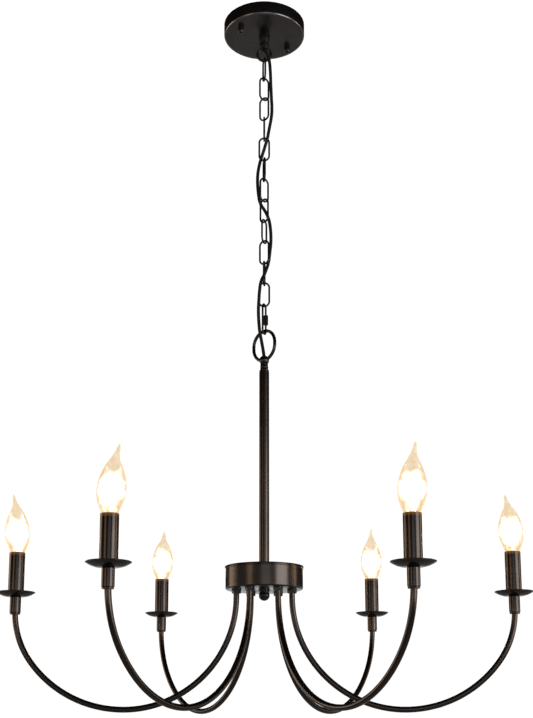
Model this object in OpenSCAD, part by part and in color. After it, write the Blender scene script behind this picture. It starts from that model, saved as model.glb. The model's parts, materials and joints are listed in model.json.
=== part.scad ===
// Six-arm candle chandelier hung on a chain from a round ceiling canopy.
// Origin: ceiling plane at the centre of the canopy. +Z points up, +X runs along one arm.

/* [Canopy] */
// Outer diameter of the canopy
canopy_d = 120; // [118:1:140]
// Depth of the canopy below the ceiling
canopy_h = 20; // [19:0.5:24]
// Sheet thickness of the canopy
canopy_t = 1.2; // [0.8:0.1:1.6]
// Distance between the two canopy studs
stud_span = 86; // [84:1:88]
// Distance between the two ceiling-box screw holes in the bar
box_hole_span = 70; // [66:1:72]
// Heading of the ceiling bar
bar_heading = 37; // [35:1:39]

/* [Chain] */
// Outside length of a chain link
link_len = 38.1; // [37.6:0.1:38.6]
// Outside width of a chain link
link_w = 17.3; // [16.8:0.1:17.8]
// Wire diameter of a chain link
link_wire = 2.8; // [2.7:0.1:2.9]
// Outside length of the quick link
quick_len = 47.2; // [47:0.1:47.4]
// Outside width of the quick link
quick_w = 13.8; // [13.6:0.1:14]
// Wire diameter of the quick link
quick_wire = 2.8; // [2.7:0.1:2.9]
// Diameter of the supply cord
cord_d = 4.8; // [4.6:0.1:4.9]

/* [Stem and hub] */
// Outside diameter of the loop on top of the stem
ring_d = 45; // [44:0.5:46]
// Wire diameter of that loop
ring_wire = 4.7; // [4.5:0.1:4.8]
// Diameter of the stem tube
stem_d = 14; // [13:0.5:15]
// Diameter of the hub
hub_d = 106; // [105:0.5:107]
// Height of the hub with its cover
hub_h = 31.7; // [31.2:0.1:32.2]
// Sheet thickness of the hub
hub_t = 1.5; // [1.2:0.1:1.6]

/* [Arms and candles] */
// Radius from the stem to the candles
candle_reach = 340; // [336:1:344]
// Radius from the stem to the root of each arm
root_reach = 38; // [37:0.5:39]
// Diameter of the arm tubes
arm_d = 8; // [7.8:0.1:8.2]
// Wall of the arm tubes
arm_t = 1; // [0.8:0.1:1.2]
// Bend radius of the outer sweep of an arm
sweep_r = 159.5; // [158:0.5:161]
// Diameter of the drip pans
pan_d = 52.6; // [50:0.2:54]
// Diameter of the candle sleeves
sleeve_d = 21.5; // [21.4:0.1:22]
// Length of the candle sleeves
sleeve_len = 60; // [59:0.5:61]
// Largest diameter of the bulbs
bulb_d = 34; // [32:0.5:35]

/* [Hidden] */
$fn = 48;
arms = 6;
gap = 0.25; // slack between two hanging links
lead_d = 1.2; // insulated core of the cord
bar_t = 1.6;
bar_w = 20;
bar_len = 104;
stud_d = 4;
thread_d = 9.6; // lamp thread used by the canopy loop and the hub
bore_d = 6.4; // wire way through every threaded piece
ring_sides = 8; // sides of a swept cord

// canopy loop
eye_d = 24; // outside diameter of the eye under the canopy
eye_wire = 3.8;
eye_z = -48.25; // centre of the eye
eye_bottom = eye_z - eye_d / 2;

// chain: headings of the links, each free to hang a little turned from the last
link_heading = [104, 30, 150, 90, 0, 100, 40, 140, 65, 150, 85, 175];
links = len(link_heading);
quick_heading = 67;
ring_heading = -42;
link_pitch = link_len - 2 * link_wire - gap;
link_top = eye_bottom + eye_wire + gap + link_wire; // top of the first link
quick_top = link_top - (links - 1) * link_pitch - link_len + link_wire + gap + quick_wire;
sleeve_nut_len = 14; // threaded sleeve of the quick link
sleeve_nut_flats = 6;
mouth_low = -5.5; // open mouth of the quick link, from its centre
mouth_high = -0.5;

// stem loop
ring_top = quick_top - quick_len + quick_wire + gap + ring_wire;
ring_len = 48; // outside length of the oval loop
collar_ball = 13.9; // diameter of the collar's ball, which the loop grows out of
collar_ball_z = -525.5;
collar_waist = 10.8;
collar_beads = [[6.6, 3.6, 4.5], [1.7, 5.1, 3.4]]; // height above the stem, ring radius, thickness
stem_top = -542.5;

// hub
hub_bottom = -852.4;
hub_top = hub_bottom + hub_h;
floor_top = hub_bottom + hub_t;
hub_lip = 1.1; // how far the cover stands out past the wall
hub_bead = 0.8; // how far the bead under it stands out

// arms
arm_low_r = 189; // radius of the lowest point
root_bend = arm_low_r - root_reach;
arm_low_z = -1013.5;
sweep_sin = 0.8; // the outer sweep turns through a 3-4-5 angle, then bends tighter
sweep_cos = 0.6;
end_bend = (candle_reach - arm_low_r - sweep_r * sweep_sin) / (1 - sweep_sin);
arm_end_z = arm_low_z + sweep_r - (sweep_r - end_bend) * sweep_cos; // upright from here on
arm_top_z = -849; // end of the arm tube inside the candle
arm_root_z = -843.5; // end of the arm tube inside the hub

// candles
cup_d = 13.4;
cup_lip_d = 15;
cup_z = arm_end_z - 6.2;
pan_rim_z = -855.5;
pan_depth = 6;
pan_t = 1;
pan_flat = 9; // radius of the flat floor of a pan
pan_floor_z = pan_rim_z - pan_depth;
pan_seat_z = pan_floor_z + pan_t;
sleeve_t = 0.8;
glass_foot = pan_seat_z + sleeve_len - 5.5;
glass_t = 0.8;
belly_z = 30; // height of the widest place above the foot of the glass
shoulder_z = 66;
base_d = 11.6; // E12 screw base
base_len = 16;
shell_bore = 12.2;
shell_top = glass_foot - 1;
shell_floor = glass_foot - 26;
wire_top_z = shell_floor - 2; // end of the arm wire at the lamp socket
tip_turn = [130, 270, 80, 220, 0, 300]; // heading of each bulb's bent tip

// Route of the supply cord, from the canopy loop down to the collar of the stem.
cord_route = [
    [0, 0, -7], [0, 0, -18], [0, 0, -30], [0.1, -0.1, -37], [0.5, -0.6, -40.3], [1.8, -2.1, -43.6], [4.2, -4.2, -49],
    [6.6, -5.2, -56], [8, -5.2, -64], [8.9, -4.8, -74], [9.5, -4.4, -86], [9.8, -4.2, -98],
    [10.3, -4, -110], [10.8, -3.6, -122], [11.4, -3, -134], [11.2, -2.8, -146], [9.9, -3.5, -157],
    [8, -4.3, -168], [6.3, -4.8, -178], [4.9, -4.6, -186], [2.4, -2.6, -194], [0, 0, -201],
    [-2.5, 2.4, -208], [-5, 4.5, -215], [-7, 4.8, -223], [-8.6, 4, -232], [-9.6, 2.8, -242],
    [-9.8, 1.6, -253], [-9.2, 0.8, -264], [-8.2, 0.3, -274], [-7, 0, -282], [-4.4, 0, -289.5],
    [0.2, 0, -297], [4.3, 0.3, -305], [7, 0.3, -313], [8.8, 0.2, -324], [9.7, 0.2, -337],
    [9.5, 0.5, -350], [8.2, 1, -362], [6.9, 1.9, -373], [5.2, 1.9, -381.5], [2.6, 1, -389.5],
    [0, 0, -397], [-3.2, -2.7, -404.5], [-5.4, -4.6, -413], [-6.6, -4.8, -423], [-7.5, -4.6, -436],
    [-8.2, -4.1, -450], [-8, -3.6, -462], [-7.4, -3.3, -472], [-6.5, -2.9, -482],
    [-4.8, -1.8, -492], [-3, -0.9, -502], [-1.3, -0.3, -512], [0, 0, -523], [0, 0, -535],
    [0, 0, -690], [0, 0, -832],
];
// Cores inside the canopy: distance along their heading, and height.
canopy_lead = [[1.35, -7], [1.4, -5.4], [3, -3.8], [7, -3.6], [11, -5], [15, -7], [19, -8]];
lead_headings = [bar_heading + 30, bar_heading + 90, bar_heading + 150];
// Cores inside the hub.
hub_lead = [[1.35, -832.2], [1.6, -833.6], [3.6, -835], [8, -834.6], [13, -831.6], [18, -828.8],
    [23, -828], [27, -830], [28.6, -834.5]];
// Core from an arm to its splice: radius, side and height.
arm_lead = [[38, 0, -843.5], [38, 0.2, -838], [37.4, 1.4, -833], [35.8, 4.4, -829.4],
    [33, 8.2, -827.8], [29.8, 11.6, -828.4], [27.4, 13.4, -831], [26.6, 13.8, -834.5]];
splice_reach = 30;
splice_mouth_z = -833.5;

function unit(v) = v / norm(v);

// One ring of points round a route, square to its direction t.
function cord_ring(p, t, side, r) =
    let (u = unit(cross(side, t)), v = cross(t, u))
    [for (i = [0 : ring_sides - 1])
        p + r * (cos(360 * i / ring_sides) * u + sin(360 * i / ring_sides) * v)];

// A closed tube of diameter d swept along a route that never runs along side.
module swept_cord(route, d, side = [0, 1, 0]) {
    last = len(route) - 1;
    rings = [for (k = [0 : last])
        cord_ring(route[k], unit(route[min(k + 1, last)] - route[max(k - 1, 0)]), side, d / 2)];
    points = [for (ring = rings) each ring];
    walls = [for (k = [0 : last - 1], i = [0 : ring_sides - 1])
        let (j = (i + 1) % ring_sides, a = k * ring_sides, b = a + ring_sides)
        each [[a + i, b + i, b + j], [a + i, b + j, a + j]]];
    first_cap = [for (i = [0 : ring_sides - 1]) i];
    last_cap = [for (i = [ring_sides - 1 : -1 : 0]) last * ring_sides + i];
    polyhedron(points, concat(walls, [first_cap, last_cap]));
}

// Upright tube from z0 up to z1, or a rod where the bore is 0.
module pipe(d, bore, z0, z1) {
    translate([0, 0, z0]) difference() {
        cylinder(d = d, h = z1 - z0);
        if (bore > 0) translate([0, 0, -1]) cylinder(d = bore, h = z1 - z0 + 2);
    }
}

// Hexagon nut or sleeve with a round bore.
module hex_nut(flats, bore, z0, z1) {
    translate([0, 0, z0]) difference() {
        cylinder(d = flats / cos(30), h = z1 - z0, $fn = 6);
        translate([0, 0, -1]) cylinder(d = bore, h = z1 - z0 + 2);
    }
}

// Round wire or tube bent through an arc in the XZ plane, from angle a0 over the angle sweep.
module wire_arc(r, wire, a0, sweep, bore = 0) {
    rotate([90, 0, 0]) rotate([0, 0, a0]) rotate_extrude(angle = sweep) translate([r, 0])
        difference() {
            circle(d = wire);
            if (bore > 0) circle(d = bore);
        }
}

// Long oval of round wire, standing in the XZ plane about its centre.
module oval_link(length, width, wire) {
    bend = (width - wire) / 2;
    straight = length - width;
    for (s = [-1, 1]) translate([s * bend, 0, -straight / 2]) cylinder(d = wire, h = straight);
    translate([0, 0, straight / 2]) wire_arc(bend, wire, 0, 180);
    translate([0, 0, -straight / 2]) wire_arc(bend, wire, 180, 180);
}

// Twist-on wire connector lying along +X, mouth at the origin.
module wire_nut(d, length) {
    rotate([0, 90, 0]) difference() {
        cylinder(d1 = d, d2 = d * 0.6, h = length);
        translate([0, 0, -1]) cylinder(d = d * 0.6, h = 2.2);
    }
}

module at_arm(i) {
    rotate([0, 0, 360 / arms * i]) children();
}

module at_candles() {
    for (i = [0 : arms - 1]) at_arm(i) translate([candle_reach, 0, 0]) children();
}

module at_roots() {
    for (i = [0 : arms - 1]) at_arm(i) translate([root_reach, 0, 0]) children();
}

// ---- ceiling ----

module ceiling_bar() {
    color("lightsteelblue") rotate([0, 0, bar_heading]) difference() {
        translate([-bar_len / 2, -bar_w / 2, -bar_t]) cube([bar_len, bar_w, bar_t]);
        for (s = [-1, 1]) {
            translate([s * stud_span / 2, 0, -bar_t - 1]) cylinder(d = stud_d, h = bar_t + 2);
            translate([s * box_hole_span / 2, 0, -bar_t - 1]) cylinder(d = 4.8, h = bar_t + 2);
        }
        translate([-18, 0, -bar_t - 1]) cylinder(d = stud_d, h = bar_t + 2);
    }
}

module canopy_studs() {
    color("silver") rotate([0, 0, bar_heading]) for (s = [-1, 1])
        translate([s * stud_span / 2, 0, -canopy_h - 4]) cylinder(d = stud_d, h = canopy_h + 4);
}

module ground_screw() {
    color("green") rotate([0, 0, bar_heading]) translate([-18, 0, -7]) {
        translate([0, 0, 2]) cylinder(d = stud_d, h = 5);
        translate([0, 0, 1.4]) cylinder(d = 8, h = 2);
        difference() {
            cylinder(d = 7, h = 1.5, $fn = 6);
            translate([-4, -0.5, -1]) cube([8, 1, 1.6]);
        }
    }
}

module canopy() {
    r = canopy_d / 2;
    corner = 3.5;
    color("dimgray") difference() {
        rotate_extrude() union() {
            translate([0, -canopy_h]) square([r - corner, canopy_t]);
            translate([r - canopy_t, -canopy_h + corner]) square([canopy_t, canopy_h - corner]);
            translate([r - corner, -canopy_h + corner]) difference() {
                circle(r = corner);
                circle(r = corner - canopy_t);
                translate([-corner - 1, -corner - 1]) square([corner + 1, 2 * corner + 2]);
                translate([-corner - 1, 0]) square([2 * corner + 2, corner + 1]);
            }
        }
        translate([0, 0, -canopy_h - 1]) cylinder(d = thread_d, h = canopy_t + 2);
        rotate([0, 0, bar_heading]) for (s = [-1, 1])
            translate([s * stud_span / 2, 0, -canopy_h - 1])
                cylinder(d = stud_d + 0.8, h = canopy_t + 2);
    }
}

module canopy_ball_nuts() {
    color("dimgray") rotate([0, 0, bar_heading]) for (s = [-1, 1])
        translate([s * stud_span / 2, 0, -canopy_h]) difference() {
            union() {
                translate([0, 0, -2]) cylinder(d = 8.6, h = 2);
                translate([0, 0, -5.2]) sphere(d = 9.4);
            }
            translate([0, 0, -4]) cylinder(d = stud_d, h = 5);
        }
}

module canopy_loop() {
    color("dimgray") difference() {
        union() {
            translate([0, 0, -canopy_h]) cylinder(d = thread_d, h = 12);
            translate([0, 0, -canopy_h - 3]) cylinder(d = 17, h = 3);
            translate([0, 0, -canopy_h - 12]) cylinder(d1 = 13, d2 = 15, h = 9);
            translate([0, 0, -canopy_h - 14]) cylinder(d = 15, h = 3);
            translate([0, 0, eye_z + 8]) cylinder(d1 = 10.5, d2 = 13, h = -canopy_h - 12 - eye_z - 8);
            translate([0, 0, eye_z]) wire_arc((eye_d - eye_wire) / 2, eye_wire, 0, 360);
        }
        translate([0, 0, eye_z + 6]) cylinder(d = bore_d, h = 40);
    }
}

module canopy_loop_nut() {
    color("silver") {
        pipe(18, thread_d, -canopy_h + canopy_t, -canopy_h + canopy_t + 1.2);
        hex_nut(14, thread_d, -canopy_h + canopy_t + 1.2, -canopy_h + canopy_t + 5.2);
    }
}

// A core that leaves along a heading, through points of distance and height.
module lead(heading, points) {
    along = [cos(heading), sin(heading), 0];
    side = [-sin(heading), cos(heading), 0];
    swept_cord([for (p = points) p[0] * along + [0, 0, p[1]]], lead_d, side);
}

module canopy_leads() {
    color("white") for (a = lead_headings) lead(a, canopy_lead);
}

module canopy_wire_nuts() {
    end = canopy_lead[len(canopy_lead) - 1];
    color("orange") for (a = lead_headings)
        rotate([0, 0, a]) translate([end[0] - 0.9, 0, end[1]]) wire_nut(9, 17);
}

// ---- chain and cord ----

module chain_link(k) {
    color("dimgray") translate([0, 0, link_top - k * link_pitch - link_len / 2])
        rotate([0, 0, link_heading[k]]) oval_link(link_len, link_w, link_wire);
}

module quick_link() {
    bar_x = (quick_w - quick_wire) / 2;
    color("dimgray") translate([0, 0, quick_top - quick_len / 2]) rotate([0, 0, quick_heading])
        difference() {
            oval_link(quick_len, quick_w, quick_wire);
            translate([bar_x - 3, -3, mouth_low]) cube([6, 6, mouth_high - mouth_low]);
        }
}

module quick_link_sleeve() {
    bar_x = (quick_w - quick_wire) / 2;
    color("gray") translate([0, 0, quick_top - quick_len / 2]) rotate([0, 0, quick_heading])
        translate([bar_x, 0, 0])
            hex_nut(sleeve_nut_flats, quick_wire + 0.1, -sleeve_nut_len / 2, sleeve_nut_len / 2);
}

module supply_cord() {
    color("black") swept_cord(cord_route, cord_d);
}

// ---- stem ----

module stem_loop() {
    color("dimgray") rotate([0, 0, ring_heading]) difference() {
        union() {
            translate([0, 0, ring_top - ring_len / 2]) oval_link(ring_len, ring_d, ring_wire);
            translate([0, 0, collar_ball_z]) sphere(d = collar_ball);
            translate([0, 0, stem_top]) cylinder(d = collar_waist, h = collar_ball_z - stem_top - 4);
            for (b = collar_beads) translate([0, 0, stem_top + b[0]])
                rotate_extrude() translate([b[1], 0]) circle(d = b[2]);
            translate([0, 0, stem_top - 12]) cylinder(d = thread_d, h = 14);
        }
        translate([0, 0, stem_top - 13]) cylinder(d = bore_d, h = collar_ball_z - stem_top + 26);
    }
}

module stem_tube() {
    color("dimgray") {
        pipe(stem_d, thread_d, hub_top, hub_top + 16);
        pipe(stem_d, stem_d - 2.4, hub_top + 16, stem_top - 12);
        pipe(stem_d, thread_d, stem_top - 12, stem_top);
    }
}

// ---- hub ----

module hub_cover() {
    color("dimgray") difference() {
        union() {
            translate([0, 0, hub_top - 1.2]) cylinder(d = hub_d + 2 * hub_lip, h = 1.2);
            translate([0, 0, hub_top - 2.2]) cylinder(d = hub_d - 2, h = 1.2);
            pipe(hub_d - 2 * hub_t - 0.2, hub_d - 2 * hub_t - 3, hub_top - 5, hub_top - 1);
        }
        translate([0, 0, hub_top - 6]) cylinder(d = thread_d, h = 8);
        translate([0, 0, hub_top - 6]) cylinder(d = hub_d - 2 * hub_t - 3, h = 4.8);
    }
}

module hub_nipple() {
    color("silver") pipe(thread_d, bore_d, -830, hub_top + 14);
}

module hub_lock_nut() {
    color("silver") hex_nut(14, thread_d, hub_top - 5.2, hub_top - 1.2);
}

module hub_cup() {
    r = hub_d / 2;
    corner = 2;
    edge = hub_top - 2.2;
    color("dimgray") difference() {
        union() {
            translate([0, 0, hub_bottom + corner]) cylinder(r = r, h = edge - hub_bottom - corner);
            translate([0, 0, edge - 1.4]) cylinder(r = r + hub_bead, h = 1.4);
            translate([0, 0, hub_bottom]) cylinder(r = r - corner, h = corner + 1);
            translate([0, 0, hub_bottom + corner]) rotate_extrude()
                translate([r - corner, 0]) circle(r = corner);
        }
        translate([0, 0, floor_top]) cylinder(r = r - hub_t, h = hub_h);
        translate([0, 0, hub_bottom - 1]) cylinder(d = 6, h = hub_t + 2);
        at_roots() translate([0, 0, hub_bottom - 1]) cylinder(d = arm_d + 0.4, h = hub_t + 2);
    }
}

module hub_yoke() {
    low = floor_top;
    high = hub_top - 5.4;
    half = 11;
    color("goldenrod") difference() {
        union() {
            for (z = [low, high - 3]) translate([-half, -3, z]) cube([2 * half, 6, 3]);
            for (s = [-1, 1]) translate([s * (half - 1) - 1, -3, low]) cube([2, 6, high - low]);
            for (z = [low, high - 5]) translate([0, 0, z]) cylinder(d = 15, h = 5);
            translate([0, 0, hub_bottom - 9]) cylinder(d = 6, h = 11);
        }
        translate([0, 0, high - 6]) cylinder(d = thread_d, h = 8);
    }
}

module finial() {
    color("dimgray") difference() {
        union() {
            translate([0, 0, hub_bottom - 1.6]) cylinder(d = 15.4, h = 1.6);
            translate([0, 0, hub_bottom - 4]) cylinder(d = 13.6, h = 3);
            translate([0, 0, hub_bottom - 7.5]) sphere(d = 15);
        }
        translate([0, 0, hub_bottom - 9]) cylinder(d = 6, h = 10);
    }
}

module hub_leads() {
    color("white") {
        for (a = [30, 150, 270]) lead(a, hub_lead);
        for (i = [0 : arms - 1]) at_arm(i) mirror([0, i % 2, 0])
            swept_cord(arm_lead, lead_d, [0.77, 0.64, 0]);
    }
}

module hub_wire_nuts() {
    color("orange") for (a = [30, 150, 270]) rotate([0, 0, a])
        translate([splice_reach, 0, splice_mouth_z]) rotate([0, 90, 0]) wire_nut(9, 15);
}

// ---- arms ----

// Everything on one side of the plane where the outer sweep ends: past it, or before it for -1.
module past_sweep(sweep_z, side) {
    big = 400;
    translate([arm_low_r, 0, sweep_z]) rotate([0, -atan2(sweep_sin, sweep_cos), 0])
        translate([side * big, -big / 2, -big]) cube([big, big, 2 * big]);
}

// Rod or tube along an arm, from root_z in the hub round to top_z in the candle.
module arm_path(d, bore, root_z, top_z) {
    bend_z = arm_low_z + root_bend;
    sweep_z = arm_low_z + sweep_r;
    translate([root_reach, 0, 0]) pipe(d, bore, bend_z, root_z);
    translate([arm_low_r, 0, bend_z]) wire_arc(root_bend, d, 180, 90, bore);
    difference() {
        translate([arm_low_r, 0, sweep_z]) wire_arc(sweep_r, d, 270, 90, bore);
        past_sweep(sweep_z, 0);
    }
    difference() {
        translate([candle_reach - end_bend, 0, arm_end_z]) wire_arc(end_bend, d, 270, 90, bore);
        past_sweep(sweep_z, -1);
    }
    translate([candle_reach, 0, 0]) pipe(d, bore, arm_end_z, top_z);
}

module arm(i) {
    color("dimgray") at_arm(i) arm_path(arm_d, arm_d - 2 * arm_t, arm_root_z, arm_top_z);
}

module arm_flange_nuts() {
    color("black") at_roots() {
        pipe(13.4, arm_d, hub_bottom - 1.4, hub_bottom);
        hex_nut(11, arm_d, hub_bottom - 4.8, hub_bottom - 1.4);
    }
}

module arm_lock_nuts() {
    color("silver") at_roots() hex_nut(12, arm_d, floor_top, floor_top + 3.6);
}

module arm_wires() {
    color("white") for (i = [0 : arms - 1]) at_arm(i) arm_path(2.4, 0, arm_root_z, wire_top_z);
}

// ---- candles ----

module candle_cups() {
    color("dimgray") at_candles() {
        pipe(cup_lip_d, arm_d + 0.6, cup_z, cup_z + 1.6);
        pipe(cup_d, arm_d + 0.6, cup_z + 1.6, pan_floor_z - 2);
        pipe(cup_d, arm_d, pan_floor_z - 2, pan_floor_z);
    }
}

module drip_pans() {
    r = pan_d / 2;
    run = r - pan_flat;
    bowl_r = (run * run + pan_depth * pan_depth) / (2 * pan_depth);
    color("dimgray") at_candles() translate([0, 0, pan_floor_z]) rotate_extrude() {
        translate([arm_d / 2 + 0.2, 0]) square([pan_flat - arm_d / 2 - 0.2, pan_t]);
        intersection() {
            translate([pan_flat, bowl_r]) difference() {
                circle(r = bowl_r, $fn = 180);
                circle(r = bowl_r - pan_t, $fn = 180);
            }
            translate([pan_flat, 0]) square([run, pan_depth]);
        }
    }
}

module candle_sleeves() {
    color("dimgray") at_candles()
        pipe(sleeve_d, sleeve_d - 2 * sleeve_t, pan_seat_z, pan_seat_z + sleeve_len);
}

module lamp_sockets() {
    color("ivory") at_candles() difference() {
        pipe(18.4, 4, pan_seat_z, shell_top);
        translate([0, 0, pan_seat_z - 1]) cylinder(d = arm_d, h = arm_top_z - pan_seat_z + 2);
        translate([0, 0, shell_floor]) cylinder(d = shell_bore + 1, h = 30);
    }
}

module socket_shells() {
    color("goldenrod") at_candles() {
        pipe(shell_bore + 0.9, shell_bore, shell_floor + 1, shell_top);
        pipe(shell_bore + 0.9, 0, shell_floor, shell_floor + 1);
        pipe(4, 0, shell_floor + 1, glass_foot - base_len - 6.3);
    }
}

module at_candle(i) {
    at_arm(i) translate([candle_reach, 0, 0]) children();
}

module bulb_base(i) {
    color("gold") at_candle(i) translate([0, 0, glass_foot - base_len]) {
        cylinder(d = base_d, h = base_len);
        translate([0, 0, -4]) cylinder(d1 = 5, d2 = base_d - 0.6, h = 4);
        translate([0, 0, -6]) cylinder(d = 4, h = 2.1);
    }
}

// Radius of the glass at a height above its foot.
function glass_r(z) = z < belly_z
    ? 6.2 + (bulb_d / 2 - 6.2) * pow(sin(90 * z / belly_z), 0.9)
    : 5.5 + (bulb_d / 2 - 5.5) * pow(cos(90 * (z - belly_z) / (shoulder_z - belly_z)), 0.7);

// Cone with round ends that joins two places p and q, of radius r and s.
module horn(p, r, q, s) {
    v = q - p;
    translate(p) rotate([0, acos(v[2] / norm(v)), atan2(v[1], v[0])])
        cylinder(r1 = r, r2 = s, h = norm(v));
    translate(q) sphere(r = s);
}

module bulb_glass(i) {
    steps = 18;
    outer = [for (k = [0 : steps]) let (z = shoulder_z * k / steps) [glass_r(z), z]];
    color("khaki", 0.5) at_candle(i) translate([0, 0, glass_foot])
        rotate([0, 0, tip_turn[i] - 360 / arms * i]) {
            rotate_extrude() difference() {
                polygon(concat([[0, 0]], outer, [[0, shoulder_z]]));
                polygon(concat([[0, -1]], [for (p = outer) if (p[1] < shoulder_z - 2)
                    [p[0] - glass_t, p[1] - (p[1] == 0 ? 1 : 0)]], [[0, shoulder_z - 4]]));
            }
            horn([0.6, 0, shoulder_z - 5], 5.6, [3.6, 0, shoulder_z + 6], 4);
            horn([3.6, 0, shoulder_z + 6], 4, [6.6, 0, shoulder_z + 13], 2.4);
            horn([6.6, 0, shoulder_z + 13], 2.4, [8.9, 0, shoulder_z + 19.4], 1.2);
        }
}

ceiling_bar();
canopy_studs();
ground_screw();
canopy();
canopy_ball_nuts();
canopy_loop();
canopy_loop_nut();
canopy_leads();
canopy_wire_nuts();
supply_cord();
chain_link(0);  // chain_link_01
chain_link(1);  // chain_link_02
chain_link(2);  // chain_link_03
chain_link(3);  // chain_link_04
chain_link(4);  // chain_link_05
chain_link(5);  // chain_link_06
chain_link(6);  // chain_link_07
chain_link(7);  // chain_link_08
chain_link(8);  // chain_link_09
chain_link(9);  // chain_link_10
chain_link(10);  // chain_link_11
chain_link(11);  // chain_link_12
quick_link();
quick_link_sleeve();
stem_loop();
stem_tube();
hub_cover();
hub_nipple();
hub_lock_nut();
hub_cup();
hub_yoke();
finial();
hub_leads();
hub_wire_nuts();
arm(0);  // arm_1
arm(1);  // arm_2
arm(2);  // arm_3
arm(3);  // arm_4
arm(4);  // arm_5
arm(5);  // arm_6
arm_flange_nuts();
arm_lock_nuts();
arm_wires();
candle_cups();
drip_pans();
candle_sleeves();
lamp_sockets();
socket_shells();
bulb_base(0);  // bulb_base_1
bulb_base(1);  // bulb_base_2
bulb_base(2);  // bulb_base_3
bulb_base(3);  // bulb_base_4
bulb_base(4);  // bulb_base_5
bulb_base(5);  // bulb_base_6
bulb_glass(0);  // bulb_glass_1
bulb_glass(1);  // bulb_glass_2
bulb_glass(2);  // bulb_glass_3
bulb_glass(3);  // bulb_glass_4
bulb_glass(4);  // bulb_glass_5
bulb_glass(5);  // bulb_glass_6
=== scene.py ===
import json
import math

import bmesh
import bpy
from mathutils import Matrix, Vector


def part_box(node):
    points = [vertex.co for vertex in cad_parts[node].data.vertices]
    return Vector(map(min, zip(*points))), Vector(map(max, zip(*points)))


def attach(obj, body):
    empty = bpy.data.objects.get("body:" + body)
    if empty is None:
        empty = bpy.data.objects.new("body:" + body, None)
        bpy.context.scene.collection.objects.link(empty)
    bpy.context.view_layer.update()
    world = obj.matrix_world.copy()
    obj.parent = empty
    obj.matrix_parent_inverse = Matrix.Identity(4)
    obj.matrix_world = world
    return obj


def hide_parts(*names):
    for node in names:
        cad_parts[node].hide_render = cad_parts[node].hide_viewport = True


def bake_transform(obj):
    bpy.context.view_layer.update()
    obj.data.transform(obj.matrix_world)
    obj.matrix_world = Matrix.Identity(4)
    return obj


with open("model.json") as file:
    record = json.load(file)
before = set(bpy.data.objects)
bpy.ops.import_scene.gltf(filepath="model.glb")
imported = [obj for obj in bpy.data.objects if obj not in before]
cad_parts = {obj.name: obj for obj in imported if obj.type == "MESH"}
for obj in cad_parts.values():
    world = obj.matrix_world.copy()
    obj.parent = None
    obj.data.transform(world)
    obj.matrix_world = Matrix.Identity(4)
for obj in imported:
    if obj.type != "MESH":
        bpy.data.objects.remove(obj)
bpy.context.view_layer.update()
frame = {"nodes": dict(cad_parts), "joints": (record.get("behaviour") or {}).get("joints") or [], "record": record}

MM = 0.001
NODES = frame["nodes"]
ARMS = 6
HEADINGS = [360 / ARMS * i for i in range(ARMS)]
TIP_HEADINGS = [130, 270, 80, 220, 0, 300]  # where each lamp's bent tip points
LINKS = 12


def centre_of(node):
    low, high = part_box(node)
    return (low + high) / 2


def polar(radius, heading, z=0.0):
    a = math.radians(heading)
    return Vector((radius * math.cos(a), radius * math.sin(a), z))


# ---- camera ----

CAMERA_DISTANCE = 1.5727
CAMERA_Z = -1.0365
CAMERA_TURN = math.radians(0.77)  # round the chandelier from straight in front
CAMERA_PITCH = math.radians(10.9)
CAMERA_LENS, CAMERA_SENSOR = 57.99, 36
CAMERA_SHIFT = (0.0032, 0.2026)  # shares of the picture's longer side


def make_camera():
    data = bpy.data.cameras.new("camera")
    data.lens = CAMERA_LENS
    data.sensor_width = CAMERA_SENSOR
    data.shift_x, data.shift_y = CAMERA_SHIFT
    camera = bpy.data.objects.new("camera", data)
    camera.location = (
        CAMERA_DISTANCE * math.sin(CAMERA_TURN),
        -CAMERA_DISTANCE * math.cos(CAMERA_TURN),
        CAMERA_Z,
    )
    camera.rotation_euler = (math.pi / 2 + CAMERA_PITCH, 0, CAMERA_TURN)
    bpy.context.scene.collection.objects.link(camera)
    bpy.context.scene.camera = camera


make_camera()

# ---- mesh helpers ----

SAME_POINT = 1e-7  # points this close together are merged
SHORTEST_EDGE = 1e-8
CORNER_SHARE = 0.49  # how much of an edge one rounded corner may take


def add_piece(name, mesh, material, crease=35):
    """Links a mesh as a piece with smooth shading, kept sharp past the crease angle in degrees."""
    for polygon in mesh.polygons:
        polygon.use_smooth = True
    mesh.set_sharp_from_angle(angle=math.radians(crease))
    mesh.materials.append(material)
    piece = bpy.data.objects.new(name, mesh)
    bpy.context.scene.collection.objects.link(piece)
    return piece


def mesh_of(name, points, faces, clean=False):
    mesh = bpy.data.meshes.new(name)
    mesh.from_pydata([tuple(p) for p in points], [], faces)
    if clean:
        work = bmesh.new()
        work.from_mesh(mesh)
        bmesh.ops.remove_doubles(work, verts=work.verts, dist=SAME_POINT)
        bmesh.ops.dissolve_degenerate(work, edges=work.edges, dist=SHORTEST_EDGE)
        bmesh.ops.recalc_face_normals(work, faces=work.faces)
        work.to_mesh(mesh)
        work.free()
    mesh.update()
    return mesh


def rings_mesh(name, rings, loop=False, clean=True):
    """Skins rings of points. Open stacks get a cap at each end, a loop joins its last ring to its first."""
    sides = len(rings[0])
    points = [p for ring in rings for p in ring]
    faces = []
    for k in range(len(rings) if loop else len(rings) - 1):
        a, b = k * sides, (k + 1) % len(rings) * sides
        for i in range(sides):
            j = (i + 1) % sides
            faces.append((a + i, a + j, b + j, b + i))
    if not loop:
        faces.append(tuple(reversed(range(sides))))
        faces.append(tuple(range((len(rings) - 1) * sides, len(rings) * sides)))
    return mesh_of(name, points, faces, clean)


def lathe_mesh(name, outline, centre, sides):
    """Turns a closed outline of (radius, height) in millimetres about the upright axis through centre."""
    rings = [
        [centre + polar(r * MM, 360 * i / sides, z * MM) for i in range(sides)]
        for r, z in outline
    ]
    return rings_mesh(name, rings, loop=True)


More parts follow.
